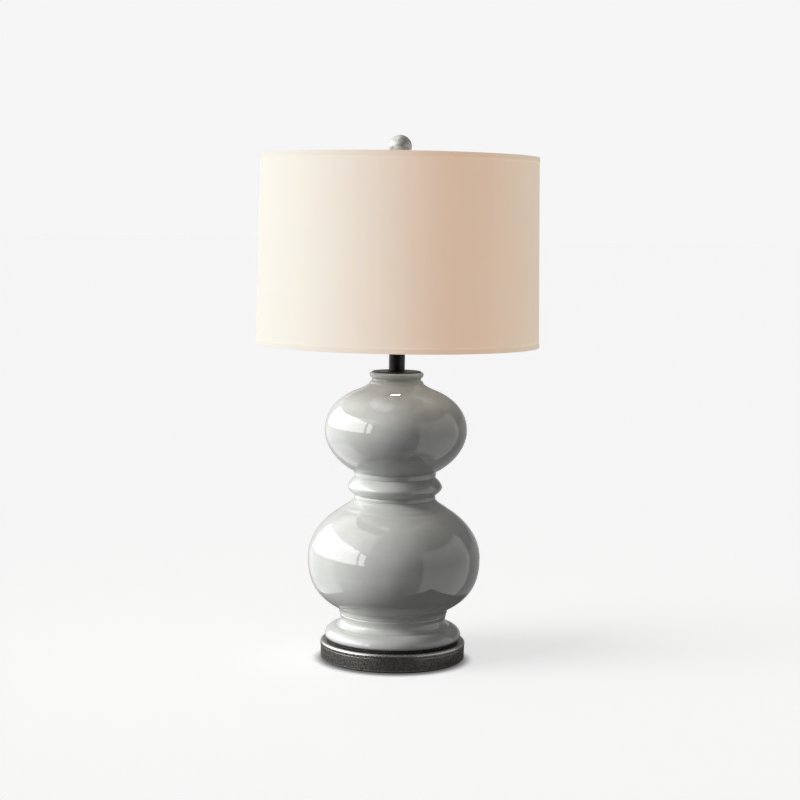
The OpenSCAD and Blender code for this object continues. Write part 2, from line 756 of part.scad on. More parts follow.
base_plate();
base_felt_pad();
cord_bushing();
rod_bottom_nut();
rod_lock_washer();
rod_flat_washer();
threaded_rod();
foot_gasket();
ceramic_body();
vase_cap();
neck_tube();
neck_washer();
harp_saddle();
saddle_nut();
harp_bow();
harp_ferrule_left();
harp_ferrule_right();
socket_cap();
socket_shell();
socket_liner();
socket_interior();
socket_screw_shell();
socket_contact();
terminal_screws();
switch_shaft();
switch_knob();
bulb_contact();
bulb_screw_cap();
bulb_housing();
bulb_led_board();
bulb_diffuser();
harp_stud();
shade_spider();
shade_top_ring();
shade_bottom_ring();
shade_liner();
shade_fabric();
shade_seam();
shade_top_trim();
shade_bottom_trim();
finial_insert();
finial_ball();
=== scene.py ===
"""Table lamp with a drum shade: its looks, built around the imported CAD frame. All lengths are in metres."""
import math

import bpy
import numpy as np
from mathutils import Matrix, Vector


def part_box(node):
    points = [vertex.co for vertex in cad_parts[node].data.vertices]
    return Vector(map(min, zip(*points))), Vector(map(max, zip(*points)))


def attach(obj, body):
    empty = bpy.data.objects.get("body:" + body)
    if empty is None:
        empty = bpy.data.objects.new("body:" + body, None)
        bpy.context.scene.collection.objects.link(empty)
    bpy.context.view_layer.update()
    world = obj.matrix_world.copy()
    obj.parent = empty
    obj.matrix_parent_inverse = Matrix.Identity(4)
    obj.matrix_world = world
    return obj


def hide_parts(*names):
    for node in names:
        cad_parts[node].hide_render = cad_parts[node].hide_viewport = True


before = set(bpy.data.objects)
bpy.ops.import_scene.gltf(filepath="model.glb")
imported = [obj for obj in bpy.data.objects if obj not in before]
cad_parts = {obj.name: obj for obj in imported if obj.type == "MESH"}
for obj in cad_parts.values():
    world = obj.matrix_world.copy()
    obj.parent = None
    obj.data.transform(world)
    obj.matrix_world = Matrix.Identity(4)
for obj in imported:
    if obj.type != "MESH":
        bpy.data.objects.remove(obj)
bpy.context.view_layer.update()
MM = 0.001
SEED = 7


# ---------------------------------------------------------------- outlines and turned meshes


RING_GAP = 0.02 * MM
FRONT_LIMIT = -10 * MM


def rings_of(node, front_only):
    """The rings of vertices on a turned CAD node: (radius, height) points, and which rings are joined."""
    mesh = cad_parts[node].data
    co = np.array([v.co for v in mesh.vertices], float)
    flat = np.stack([np.hypot(co[:, 0], co[:, 1]), co[:, 2]], 1)
    ring = np.full(len(flat), -1)
    if front_only:
        ring[co[:, 1] > FRONT_LIMIT] = -2
    points = []
    while (ring == -1).any():
        first = flat[np.argmax(ring == -1)]
        near = (ring == -1) & (np.abs(flat - first).max(1) < RING_GAP)
        ring[near] = len(points)
        points.append(flat[near].mean(0))
    joined = {i: set() for i in range(len(points))}
    for edge in mesh.edges:
        a, b = (int(ring[v]) for v in edge.vertices)
        if a != b and a >= 0 and b >= 0:
            joined[a].add(b)
            joined[b].add(a)
    return np.array(points), joined


def outline_of(node, front_only=False):
    """A turned CAD node's outline, as (radius, height) points, and whether it is a closed loop."""
    points, joined = rings_of(node, front_only)
    ends = [i for i, near in joined.items() if len(near) == 1]
    walk, last = [ends[0] if ends else 0], None
    while True:
        onward = [i for i in joined[walk[-1]] if i != last and i not in walk[1:]]
        if not onward or (onward[0] == walk[0] and len(walk) > 2):
            break
        last = walk[-1]
        walk.append(onward[0])
    line = points[walk]
    if ends:
        line = np.vstack([[0, line[0][1]], line, [0, line[-1][1]]])
    return line, not ends


# Angles in degrees, then ratios of lengths, then a count.
CORNER_TURN = 33
STEP_TURN = 6
LONG_RATIO = 3
CORNER_SHARE = 0.42
CORNER_POINTS = 6


def unit(v):
    return v / max(np.linalg.norm(v), 1e-12)


def turn(a, b):
    """The angle between two directions, in degrees."""
    return math.degrees(math.acos(max(-1.0, min(1.0, float(np.dot(unit(a), unit(b)))))))


def tangents(run):
    """The direction of a smooth curve at each point of a run.

    A stretch much longer than the next stays straight.
    """
    legs = np.diff(run, axis=0)
    size = np.linalg.norm(legs, axis=1)
    way = [unit(leg) for leg in legs]
    found = [None] * len(run)
    for i in range(1, len(run) - 1):
        a, b = size[i - 1], size[i]
        if a > LONG_RATIO * b:
            found[i] = way[i - 1]
        elif b > LONG_RATIO * a:
            found[i] = way[i]
        else:
            found[i] = unit(way[i - 1] * b + way[i] * a)
    if len(run) == 2:
        return [way[0], way[0]]
    for end, near, leg in ((0, 1, way[0]), (len(run) - 1, len(run) - 2, way[-1])):
        found[end] = unit(2 * np.dot(found[near], leg) * leg - found[near])
    return found


def curve_through(run, step):
    """Points every step or so along a smooth curve through the run's points, the last one left out."""
    ways = tangents(run)
    out = []
    for i in range(len(run) - 1):
        p, q = run[i], run[i + 1]
        size = np.linalg.norm(q - p)
        count = max(1, math.ceil(size / step), math.ceil(turn(ways[i], ways[i + 1]) / STEP_TURN))
        for k in range(count):
            t = k / count
            out.append(
                (2 * t**3 - 3 * t**2 + 1) * p
                + (t**3 - 2 * t**2 + t) * size * ways[i]
                + (3 * t**2 - 2 * t**3) * q
                + (t**3 - t**2) * size * ways[i + 1]
            )
    return out


def softened(line, corners, soft):
    """The closed line with each corner cut back by soft and rounded."""
    line = np.array(line)
    count = len(line)
    gone, added = set(), {}
    for c in corners:
        ends = []
        for way in (-1, 1):
            i, left = c, min(soft, CORNER_SHARE * corner_room(line, corners, c, way))
            while left > 0:
                j = (i + way) % count
                leg = np.linalg.norm(line[j] - line[i])
                if leg > left:
                    ends.append(line[i] + (line[j] - line[i]) * left / leg)
                    break
                left -= leg
                gone.add(j)
                i = j
            else:
                ends.append(line[i])
        gone.add(c)
        a, b, p = ends[0], ends[1], line[c]
        shares = np.linspace(0, 1, CORNER_POINTS)
        added[c] = [(1 - t) ** 2 * a + 2 * t * (1 - t) * p + t * t * b for t in shares]
    out = []
    for i in range(count):
        if i in added:
            out += added[i]
        elif i not in gone:
            out.append(line[i])
    return np.array(out)


def corner_room(line, corners, c, way):
    """How far it is along the line from corner c to the next corner."""
    i, far, count = c, 0.0, len(line)
    while True:
        j = (i + way) % count
        far += np.linalg.norm(line[j] - line[i])
        if j in corners or j == c:
            return far
        i = j


def smooth(outline, closed, step, soft):
    """A fine closed outline, smooth between its corners, which are rounded by soft.

    A corner is a point where the outline turns by more than CORNER_TURN degrees.
    """
    n = len(outline)
    legs = np.roll(outline, -1, axis=0) - outline
    keep = [i for i in range(n) if turn(legs[i - 1], legs[i]) > CORNER_TURN]
    if not closed:
        keep = sorted({0, n - 1, *keep})
    line, corners = [], []
    for a, b in zip(keep, keep[1:] + [keep[0] + n]):
        run = outline[[i % n for i in range(a, b + 1)]]
        if closed or a not in (0, n - 1):
            corners.append(len(line))
        if not closed and a == n - 1:
            line.append(run[0])
        else:
            line += curve_through(run, step)
    return softened(line, corners, soft)


RELIEF_REACH = 2.5 * MM
# The bend, in radians to a metre, that counts as a clear ridge or hollow.
CLEAR_BEND = 260


def relief_of(line):
    """How far each point of a closed outline stands out, from -1 in a hollow to 1 on a ridge."""
    legs = np.roll(line, -1, axis=0) - line
    before = np.roll(legs, 1, axis=0)
    size = np.linalg.norm(legs, axis=1) + np.linalg.norm(before, axis=1) + 1e-9
    bend = np.arctan2(before[:, 0] * legs[:, 1] - before[:, 1] * legs[:, 0], (before * legs).sum(1))
    area = 0.5 * (line[:, 0] * np.roll(line[:, 1], -1) - np.roll(line[:, 0], -1) * line[:, 1]).sum()
    bend = 2 * bend / size * np.sign(area)
    soft = np.zeros(len(line))
    along = np.concatenate([[0], np.cumsum(np.linalg.norm(legs, axis=1))])[:-1]
    for i, s in enumerate(along):
        weight = np.exp(-(((along - s) / RELIEF_REACH) ** 2)) * size
        soft[i] = (weight * bend).sum() / weight.sum()
    return np.tanh(soft / CLEAR_BEND)


def mesh_object(name, verts, faces, material, relief=None):
    """A smooth-shaded mesh object with its faces turned outwards."""
    mesh = bpy.data.meshes.new(name)
    mesh.from_pydata([tuple(v) for v in verts], [], [tuple(f) for f in faces])
    mesh.validate()
    volume = 0.0
    for poly in mesh.polygons:
        corners = [mesh.vertices[i].co for i in poly.vertices]
        for i in range(1, len(corners) - 1):
            volume += corners[0].dot(corners[i].cross(corners[i + 1]))
    if volume < 0:
        mesh.flip_normals()
    mesh.polygons.foreach_set("use_smooth", [True] * len(mesh.polygons))
    if relief is not None:
        mesh.attributes.new("relief", "FLOAT", "POINT").data.foreach_set("value", relief)
    mesh.materials.append(material)
    obj = bpy.data.objects.new(name, mesh)
    bpy.context.scene.collection.objects.link(obj)
    return obj


def lathe(name, line, columns, material, bend=None):
    """Turns a closed (radius, height) outline about Z.

    bend(angle, radius, height) may move the radius and height.
    """
    on_axis = line[:, 0] < 1e-6
    angle = np.arange(columns) * 2 * math.pi / columns
    verts, index, relief = [], [], []
    stand_out = relief_of(line)
    for (r, z), axis, out in zip(line, on_axis, stand_out):
        if axis:
            index.append([len(verts)] * columns)
            verts.append((0, 0, z))
            relief.append(out)
            continue
        radius, height = np.full(columns, r), np.full(columns, z)
        if bend:
            radius, height = bend(angle, radius, height)
        index.append(list(range(len(verts), len(verts) + columns)))
        verts += list(zip(radius * np.sin(angle), -radius * np.cos(angle), height))
        relief += [out] * columns
    faces = []
    for i in range(len(line)):
        j = (i + 1) % len(line)
        if on_axis[i] and on_axis[j]:
            continue
        for k in range(columns):
            m = (k + 1) % columns
            corners = [index[i][k], index[i][m], index[j][m], index[j][k]]
            faces.append(list(dict.fromkeys(corners)))
    return mesh_object(name, verts, faces, material, relief)


def stand_for(piece, body, slot, *nodes):
    """The piece rides on the body and hides the CAD nodes that it replaces; slot is not used."""
    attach(piece, body)
    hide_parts(*nodes)
    return piece


def turned(name, node, body, slot, material, columns, step, soft, bend=None):
    """A fine turned piece in place of a turned CAD node."""
    line, closed = outline_of(node)
    piece = lathe(name, smooth(line, closed, step, soft), columns, material, bend)
    return stand_for(piece, body, slot, node)


# ---------------------------------------------------------------- materials


class Nodes:
    """A material's node tree, with a Principled shader at its end."""

    def __init__(self, name, **values):
        self.material = bpy.data.materials.new(name)
        self.material.use_nodes = True
        self.tree = self.material.node_tree
        self.tree.nodes.clear()
        self.shader = self.node("BsdfPrincipled", **values)
        output = self.node("OutputMaterial")
        self.tree.links.new(self.shader.outputs["BSDF"], output.inputs["Surface"])
        self.place = self.node("TexCoord").outputs["Object"]

    def node(self, kind, **values):
        made = self.tree.nodes.new("ShaderNode" + kind)
        for key, value in values.items():
            self.put(made.inputs[key.replace("_", " ")], value)
        return made

    def put(self, socket, value):
        if isinstance(value, bpy.types.NodeSocket):
            self.tree.links.new(value, socket)
        elif isinstance(value, tuple) and len(value) == 3 and socket.type == "RGBA":
            socket.default_value = (*value, 1)
        else:
            socket.default_value = value

    def set(self, **values):
        for key, value in values.items():
            self.put(self.shader.inputs[key.replace("_", " ")], value)

    def math(self, operation, a, b=0.0, c=0.0):
        made = self.node("Math")
        made.operation = operation
        for socket, value in zip(made.inputs, (a, b, c)):
            self.put(socket, value)
        return made.outputs[0]

    def stretched(self, stretch):
        """The place on the piece, stretched: a pattern is drawn out along an axis whose factor is small."""
        made = self.node("Mapping", Vector=self.place, Scale=stretch)
        return made.outputs[0]

    def noise(self, scale, detail, stretch=None, roughness=0.5):
        """Soft noise from 0 to 1, with about scale lumps to a metre."""
        place = self.stretched(stretch) if stretch else self.place
        made = self.node("TexNoise", Vector=place, Scale=scale, Detail=detail, Roughness=roughness)
        return made.outputs["Fac"]

    def spread(self, value, low, high, to_low=0.0, to_high=1.0):
        """value between low and high, mapped to to_low and to_high with soft ends."""
        made = self.node("MapRange")
        made.interpolation_type = "SMOOTHSTEP"
        for socket, number in zip(made.inputs, (value, low, high, to_low, to_high)):
            self.put(socket, number)
        return made.outputs[0]

    def blend(self, share, a, b):
        """The colours a and b mixed."""
        made = self.node("Mix")
        made.data_type = "RGBA"
        for socket, value in zip((made.inputs[0], made.inputs[6], made.inputs[7]), (share, a, b)):
            self.put(socket, value)
        return made.outputs[2]

    def relief(self):
        """How far the place stands out: -1 in a hollow, 1 on a ridge."""
        made = self.node("Attribute")
        made.attribute_name = "relief"
        return made.outputs["Fac"]

    def bump(self, height, distance):
        """Raises the surface by up to distance where height is 1. Several calls add up."""
        made = self.node("Bump", Height=height, Distance=distance, Strength=1.0)
        before = self.shader.inputs["Normal"].links
        if before:
            self.tree.links.new(before[0].from_socket, made.inputs["Normal"])
        self.tree.links.new(made.outputs[0], self.shader.inputs["Normal"])
        return self


def glaze():
    """Thick light grey glaze: clouded and faintly banded, with a painted highlight on ridges and painted
    shade in hollows, where the glaze also thins and pools.
    """
    m = Nodes("glaze", IOR=1.55, Specular_IOR_Level=0.5)
    clouds = m.noise(16, 5, (1, 1, 0.7), 0.6)
    colour = m.blend(m.spread(clouds, 0.3, 0.7), (0.60, 0.61, 0.59), (0.685, 0.695, 0.672))
    bands = m.noise(5, 4, (1, 1, 26), 0.6)
    colour = m.blend(m.spread(bands, 0.35, 0.65, 0, 0.28), colour, (0.56, 0.572, 0.552))
    relief = m.relief()
    # Painted edge highlight: paler on ridges, where the glaze also thins.
    colour = m.blend(m.spread(relief, 0.15, 0.9, 0, 0.5), colour, (0.76, 0.765, 0.74))
    # Painted crease shade: darker in hollows, where the glaze also pools.
    hollow = m.math("MULTIPLY", relief, -1.0)
    colour = m.blend(m.spread(hollow, 0.1, 0.9, 0, 0.55), colour, (0.43, 0.44, 0.42))
    specks = m.spread(m.noise(900, 1), 0.72, 0.8, 0, 0.22)
    colour = m.blend(specks, colour, (0.42, 0.41, 0.38))
    m.set(Base_Color=colour, Roughness=m.spread(m.noise(60, 3), 0.3, 0.7, 0.035, 0.085))
    m.bump(m.noise(26, 3, (1, 1, 1.6)), 0.35 * MM).bump(m.noise(330, 2), 0.012 * MM)
    return m.material


def gunmetal():
    """Dark bronze-grey metal, patinated in small blotches, rubbed paler on its edges."""
    m = Nodes("gunmetal", Metallic=0.92)
    blotches = m.noise(420, 6, None, 0.7)
    colour = m.blend(m.spread(blotches, 0.36, 0.64), (0.14, 0.134, 0.126), (0.245, 0.236, 0.223))
    flecks = m.spread(m.noise(1100, 2), 0.58, 0.75, 0, 0.25)
    colour = m.blend(flecks, colour, (0.40, 0.385, 0.36))
    colour = m.blend(m.spread(m.relief(), 0.3, 0.95, 0, 0.55), colour, (0.55, 0.53, 0.50))
    rough = m.spread(blotches, 0.3, 0.7, 0.23, 0.34)
    m.set(Base_Color=colour, Roughness=rough)
    m.bump(m.noise(600, 4), 0.03 * MM).bump(m.noise(60, 2), 0.06 * MM)
    return m.material


def black_satin():
    """Satin black lacquer on metal."""
    m = Nodes("black_satin", IOR=1.5, Specular_IOR_Level=0.22)
    m.set(Base_Color=m.blend(m.noise(120, 4), (0.003, 0.003, 0.003), (0.009, 0.009, 0.0095)))
    m.set(Roughness=m.spread(m.noise(200, 3), 0.3, 0.7, 0.26, 0.4))
    m.bump(m.noise(900, 2), 0.012 * MM)
    return m.material


def felt():
    """Dark pressed felt with loose hairs."""
    m = Nodes("felt", Roughness=0.95, Sheen_Weight=0.5, Sheen_Roughness=0.6)
    hairs = m.noise(1500, 6, (1, 0.3, 1), 0.7)
    m.set(Base_Color=m.blend(hairs, (0.012, 0.012, 0.012), (0.05, 0.05, 0.052)))
    m.bump(hairs, 0.4 * MM)
    return m.material


def metal(name, dark, light, rough, grain=(1, 1, 14)):
    """A plain metal with drawn grain, fingerprints and duller patches."""
    m = Nodes(name, Metallic=1.0)
    lines = m.noise(500, 3, grain)
    patches = m.noise(45, 5, None, 0.6)
    m.set(Base_Color=m.blend(m.spread(patches, 0.3, 0.7), dark, light))
    wear = m.math("MULTIPLY_ADD", patches, 0.5, m.math("MULTIPLY", lines, 0.5))
    m.set(Roughness=m.spread(wear, 0.3, 0.7, *rough))
    m.bump(lines, 0.02 * MM)
    return m.material


def plastic(name, low, high, rough):
    """Moulded plastic with a fine spark-eroded grain and slight clouding."""
    m = Nodes(name, IOR=1.47)
    fine = m.noise(700, 3)
    m.set(Base_Color=m.blend(m.noise(70, 4), low, high), Roughness=m.spread(fine, 0.3, 0.7, *rough))
    m.bump(fine, 0.02 * MM)
    return m.material


def rubber():
    """Soft dark rubber, dusty and finely pitted."""
    m = Nodes("rubber", Roughness=0.8, IOR=1.45)
    dust = m.noise(260, 5)
    m.set(Base_Color=m.blend(m.spread(dust, 0.4, 0.75), (0.014, 0.014, 0.014), (0.05, 0.05, 0.048)))
    m.bump(m.noise(1200, 2), 0.03 * MM)
    return m.material


def card():
    """Pressed insulating card, fibrous and a little glossy."""
    m = Nodes("card", Roughness=0.6)
    fibres = m.noise(800, 4, (1, 1, 0.2))
    m.set(Base_Color=m.blend(fibres, (0.36, 0.25, 0.13), (0.56, 0.43, 0.25)))
    m.bump(fibres, 0.05 * MM)
    return m.material


def solder():
    """Dull solder with a crystalline skin."""
    m = Nodes("solder", Metallic=1.0)
    crystals = m.node("TexVoronoi", Vector=m.place, Scale=900.0).outputs["Distance"]
    m.set(Base_Color=m.blend(crystals, (0.42, 0.42, 0.41), (0.62, 0.62, 0.6)), Roughness=0.38)
    m.bump(crystals, 0.05 * MM)
    return m.material


def marble():
    """Polished pale stone with soft grey veins and warm clouds."""
    m = Nodes("marble", Roughness=0.09, IOR=1.5, Coat_Weight=0.4, Coat_Roughness=0.04)
    clouds = m.noise(55, 5, (1, 1, 1.7), 0.6)
    veins = m.math("ABSOLUTE", m.math("SUBTRACT", m.noise(38, 6, (1, 1, 2.2), 0.65), 0.5))
    colour = m.blend(m.spread(clouds, 0.35, 0.65), (0.50, 0.49, 0.475), (0.76, 0.745, 0.72))
    colour = m.blend(m.spread(veins, 0.0, 0.045, 0.75, 0.0), colour, (0.30, 0.30, 0.31))
    m.set(Base_Color=colour)
    m.bump(m.noise(300, 2), 0.01 * MM)
    return m.material


def frosted_globe():
    """The lit globe: frosted, evenly bright, with the mould's faint clouding."""
    m = Nodes("frosted_globe", Roughness=0.35, Emission_Strength=2.2)
    cloud = m.noise(60, 3)
    m.set(Base_Color=m.blend(cloud, (0.86, 0.85, 0.81), (0.93, 0.92, 0.89)))
    m.set(Emission_Color=m.blend(cloud, (1.0, 0.80, 0.56), (1.0, 0.84, 0.62)))
    return m.material


WARP_PITCH = 0.5 * MM
WEFT_PITCH = 0.62 * MM


def threads(m, radius, cross=False):
    """The height of a plain weave round a drum, from 0 to 1. cross turns it by a right angle."""
    x, y, z = (m.node("SeparateXYZ", Vector=m.place).outputs[i] for i in range(3))
    round_the_drum = m.math("ARCTAN2", x, y)
    pitches = (WEFT_PITCH, WARP_PITCH) if cross else (WARP_PITCH, WEFT_PITCH)
    count = round(2 * math.pi * radius / pitches[0])
    warp = m.math("SINE", m.math("MULTIPLY", round_the_drum, count / 2))
    weft = m.math("SINE", m.math("MULTIPLY", z, math.pi / pitches[1]))
    crossing = m.math("MULTIPLY", m.math("ABSOLUTE", warp), m.math("ABSOLUTE", weft))
    return m.math("POWER", crossing, 0.5)


def cloth(name, strength, tint, cross=False):
    """Cream cloth with a plain weave and upright slubs, and a painted warm glow at the given strength."""
    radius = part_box("shade_fabric")[1].x
    m = Nodes(name, Roughness=0.85, Sheen_Weight=0.15, Sheen_Roughness=0.5, Emission_Strength=strength)
    weave = threads(m, radius, cross)
    slubs = m.noise(150, 4, (1, 1, 0.03) if not cross else (0.3, 0.3, 1), 0.6)
    fine = m.noise(420, 3, (1, 1, 0.02), 0.6)
    across = m.noise(160, 3, (0.1, 0.1, 1), 0.6)
    streak = m.math("MULTIPLY_ADD", fine, 0.45, m.math("MULTIPLY", across, 0.15))
    streak = m.math("MULTIPLY_ADD", slubs, 0.4, streak)
    light = m.spread(streak, 0.25, 0.75)
    pale, deep = tint
    colour = m.blend(light, deep, pale)
    colour = m.blend(m.math("MULTIPLY", m.math("SUBTRACT", 1.0, weave), 0.22), colour, (0.55, 0.49, 0.4))
    # Painted glow: a warm emission standing in for the bulb's light through the cloth, following the streaks
    # and slow blotches.
    painted_glow_pale, painted_glow_deep = (0.52, 0.35, 0.25), (0.475, 0.312, 0.216)
    painted_glow = m.blend(light, painted_glow_deep, painted_glow_pale)
    painted_glow = m.blend(m.spread(m.noise(11, 2), 0.35, 0.65, 0, 0.55), painted_glow, (0.52, 0.325, 0.225))
    m.set(Base_Color=colour, Emission_Color=painted_glow)
    m.bump(streak, 0.08 * MM).bump(weave, 0.05 * MM)
    m.material.cycles.emission_sampling = "NONE"
    return m.material


def lining():
    """Smooth white styrene lining, faintly rippled, lit by the bulb and given a faint painted warm glow
    besides.
    """
    m = Nodes("lining", Roughness=0.4, IOR=1.5, Emission_Strength=0.06)
    ripple = m.noise(14, 3)
    m.set(Base_Color=m.blend(ripple, (0.84, 0.82, 0.77), (0.9, 0.885, 0.84)))
    # Painted glow: a faint warm emission standing in for the bulb's light on the lining.
    m.set(Emission_Color=m.blend(ripple, (0.95, 0.66, 0.42), (1.0, 0.74, 0.5)))
    m.bump(ripple, 0.2 * MM)
    m.material.cycles.emission_sampling = "NONE"
    return m.material


CREAM = ((0.875, 0.82, 0.705), (0.83, 0.765, 0.64))
TAPE = ((0.85, 0.79, 0.67), (0.81, 0.745, 0.615))

glaze_finish = glaze()
base_finish = gunmetal()
black_finish = black_satin()
brass = metal("brass", (0.62, 0.44, 0.18), (0.78, 0.6, 0.3), (0.2, 0.34))
antique_brass = metal("antique_brass", (0.25, 0.17, 0.08), (0.44, 0.33, 0.17), (0.28, 0.45))
steel = metal("steel", (0.5, 0.5, 0.49), (0.66, 0.66, 0.65), (0.22, 0.36))
aluminium = metal("aluminium", (0.7, 0.7, 0.71), (0.85, 0.85, 0.86), (0.18, 0.3), (1, 1, 6))
black_plastic = plastic("black_plastic", (0.012, 0.012, 0.012), (0.028, 0.028, 0.028), (0.35, 0.5))
white_plastic = plastic("white_plastic", (0.8, 0.8, 0.78), (0.88, 0.88, 0.86), (0.3, 0.42))
stone = marble()


# ---------------------------------------------------------------- foot and ceramic body


CUTTER_SIDES = 64
FLANGE_STEP = 2.5 * MM
FLANGE_GAP = 0.4 * MM
FLANGE_DEPTH = 1.5 * MM
CUT_START = 30 * MM
CUT_PAST = 10 * MM


def base_plate():
    """The weighted metal base, with the hole for the cord's bushing cut through its back."""
    low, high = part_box("cord_bushing")
    line, closed = outline_of("base_plate", front_only=True)
    piece = lathe("metal_base", smooth(line, closed, 4 * MM, 0.35 * MM), 192, base_finish)
    centre, flange = (low + high) / 2, (high.x - low.x) / 2
    n, cutters = CUTTER_SIDES, []
    for radius, start in ((flange - FLANGE_STEP, CUT_START), (flange + FLANGE_GAP, high.y - FLANGE_DEPTH)):
        rim = [(radius * math.cos(a), radius * math.sin(a)) for a in np.arange(n) * 2 * math.pi / n]
        verts = [(x, y, centre.z + z) for y in (start, high.y + CUT_PAST) for x, z in rim]
        sides = [(i, (i + 1) % n, n + (i + 1) % n, n + i) for i in range(n)]
        faces = [*sides, tuple(range(n - 1, -1, -1)), tuple(range(n, 2 * n))]
        cutters.append(mesh_object(f"cutter_{len(cutters)}", verts, faces, base_finish))
        cut = piece.modifiers.new("hole", "BOOLEAN")
        cut.operation, cut.solver, cut.object = "DIFFERENCE", "EXACT", cutters[-1]
    apply_modifiers(piece)
    for cutter in cutters:
        bpy.data.objects.remove(cutter)
    stand_for(piece, "base", "base_metal", "base_plate")


def apply_modifiers(piece):
    """Swaps the piece's mesh for the one that its modifiers make."""
    graph = bpy.context.evaluated_depsgraph_get()
    made = bpy.data.meshes.new_from_object(piece.evaluated_get(graph))
    piece.modifiers.clear()
    piece.data = made


def ragged(size, waves, seed):
    """A bend for lathe() that moves a rim's radius in and out by about size."""
    random = np.random.default_rng(seed)
    parts = [(k, random.uniform(0, 2 * math.pi), random.normal()) for k in waves]

    def bend(angle, radius, height):
        wave = sum(a * np.sin(k * angle + p) for k, p, a in parts) / math.sqrt(len(parts))
        return radius + size * wave * (radius > 0.5 * radius.max()), height

    return bend


def felt_pad():
    """The felt disc under the base, with a slightly ragged edge."""
    line, closed = outline_of("base_felt_pad")
    fine = smooth(line, closed, 3 * MM, 0.5 * MM)
    piece = lathe("felt_pad", fine, 192, felt(), ragged(0.12 * MM, range(9, 60, 5), SEED))
    stand_for(piece, "base", "felt", "base_felt_pad")


WANDER_START = 40 * MM
WANDER_FADE = 30 * MM


def ceramic_body():
    """The double gourd, as thrown: its radius wanders by a fraction of a millimetre round the wheel."""

    def thrown(angle, radius, height):
        wander = 0.22 * MM * np.sin(2 * angle + 31 * height)
        wander += 0.12 * MM * np.sin(3 * angle - 47 * height + 1)
        return radius + wander * np.clip((height - WANDER_START) / WANDER_FADE, 0, 1), height

    turned(
        "ceramic_gourd", "ceramic_body", "base", "glaze", glaze_finish, 192, 3 * MM, 0.8 * MM, thrown
    )


# ---------------------------------------------------------------- threads, bulb and finial


INCH = 25.4 * MM
FINE_PITCH = INCH / 27
BULB_PITCH = INCH / 7
PIPE_THREAD_LOW = 22 * MM
PIPE_THREAD_HIGH = 11 * MM
# Above the lowest point of the shade's spider.
STUD_THREAD_START = 2.6 * MM
# Just inside the radius of the stud's threaded end.
STUD_THREAD_SKIN = 3.1 * MM
BALL_BORE_RADIUS = 4.88 * MM


def finer(line, spans, step):
    """The line with extra points, every step or so, where its height is inside one of the spans."""
    out = []
    for p, q in zip(line, np.roll(line, -1, axis=0)):
        middle = (p[1] + q[1]) / 2
        inside = any(low <= middle <= high for low, high in spans)
        count = math.ceil(np.linalg.norm(q - p) / step) if inside else 1
        out += [p + (q - p) * k / count for k in range(count)]
    return np.array(out)


def threaded(piece, pitch, depth, low, high, radius):
    """Cuts a round-crested screw thread into the piece's outer skin between heights low and high."""
    for v in piece.data.vertices:
        r = math.hypot(v.co.x, v.co.y)
        if r < radius - 0.25 * depth:
            continue
        inside = min(v.co.z - low, high - v.co.z) / pitch
        if inside <= 0:
            continue
        turns = v.co.z / pitch - math.atan2(v.co.y, v.co.x) / (2 * math.pi)
        cut = depth * (0.5 - 0.5 * math.cos(2 * math.pi * turns)) * min(1.0, inside)
        v.co.x *= (r - cut) / r
        v.co.y *= (r - cut) / r


def lamp_pipe():
    """The pipe through the lamp, threaded at both ends."""
    low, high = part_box("threaded_rod")
    spans = ((low.z, low.z + PIPE_THREAD_LOW), (high.z - PIPE_THREAD_HIGH, high.z))
    line, closed = outline_of("threaded_rod")
    fine = finer(smooth(line, closed, 3 * MM, 0.2 * MM), spans, FINE_PITCH / 4)
    piece = lathe("lamp_pipe", fine, 40, steel)
    for start, end in spans:
        threaded(piece, FINE_PITCH, 0.35 * MM, start, end, high.x)
    stand_for(piece, "base", "steel", "threaded_rod")


def swivel_stud():
    """The stud in the top of the harp, with the finial's thread on it."""
    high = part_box("harp_stud")[1]
    span = (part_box("shade_spider")[0].z + STUD_THREAD_START, high.z)
    line, closed = outline_of("harp_stud")
    fine = finer(smooth(line, closed, MM, 0.15 * MM), [span], FINE_PITCH / 5)
    piece = lathe("swivel_stud", fine, 48, brass)
    threaded(piece, FINE_PITCH, 0.3 * MM, *span, STUD_THREAD_SKIN)
    stand_for(piece, "shade", "brass", "harp_stud")


def bulb():
    """The bulb: a rolled screw cap, a white housing and a frosted globe."""
    low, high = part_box("bulb_screw_cap")
    cap = turned("bulb_cap", "bulb_screw_cap", "bulb", "aluminium", aluminium, 96, 0.5 * MM, 0.15 * MM)
    threaded(cap, BULB_PITCH, 0.7 * MM, low.z + 4 * MM, high.z - 3 * MM, high.x)
    turned("bulb_body", "bulb_housing", "bulb", "white_plastic", white_plastic, 96, 1.5 * MM, 0.3 * MM)
    turned("bulb_globe", "bulb_diffuser", "bulb", "diffuser", frosted_globe(), 64, 3 * MM, 0.3 * MM)


def finial():
    """The polished stone ball and its brass neck."""
    low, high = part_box("finial_ball")
    radius = high.x
    centre = high.z - radius
    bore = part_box("finial_insert")[1]
    flat = math.asin((low.z - centre) / radius)
    angles = np.linspace(flat, math.pi / 2, 40)
    ball = [(radius * math.cos(a), centre + radius * math.sin(a)) for a in angles]
    ball[-1] = (0, high.z)
    roof = bore.z + 0.1 * MM
    line = np.array([*ball, (0, roof), (BALL_BORE_RADIUS, roof), (BALL_BORE_RADIUS, low.z)])
    corners = [0, len(line) - 2, len(line) - 1]
    piece = lathe("finial_ball_stone", softened(line, corners, 0.4 * MM), 96, stone)
    stand_for(piece, "finial", "marble", "finial_ball")
    turned("finial_neck", "finial_insert", "finial_thread", "brass", brass, 64, 0.6 * MM, 0.2 * MM)


# ---------------------------------------------------------------- shade


def drum_waves(angle, height):
    """The slow in-and-out of laminated cloth on its rings, from -1 to 1."""
    return (
        0.5 * np.sin(5 * angle + 9 * height)
        + 0.3 * np.sin(11 * angle - 21 * height + 2)
        + 0.2 * np.sin(23 * angle + 35 * height + 4)
    )


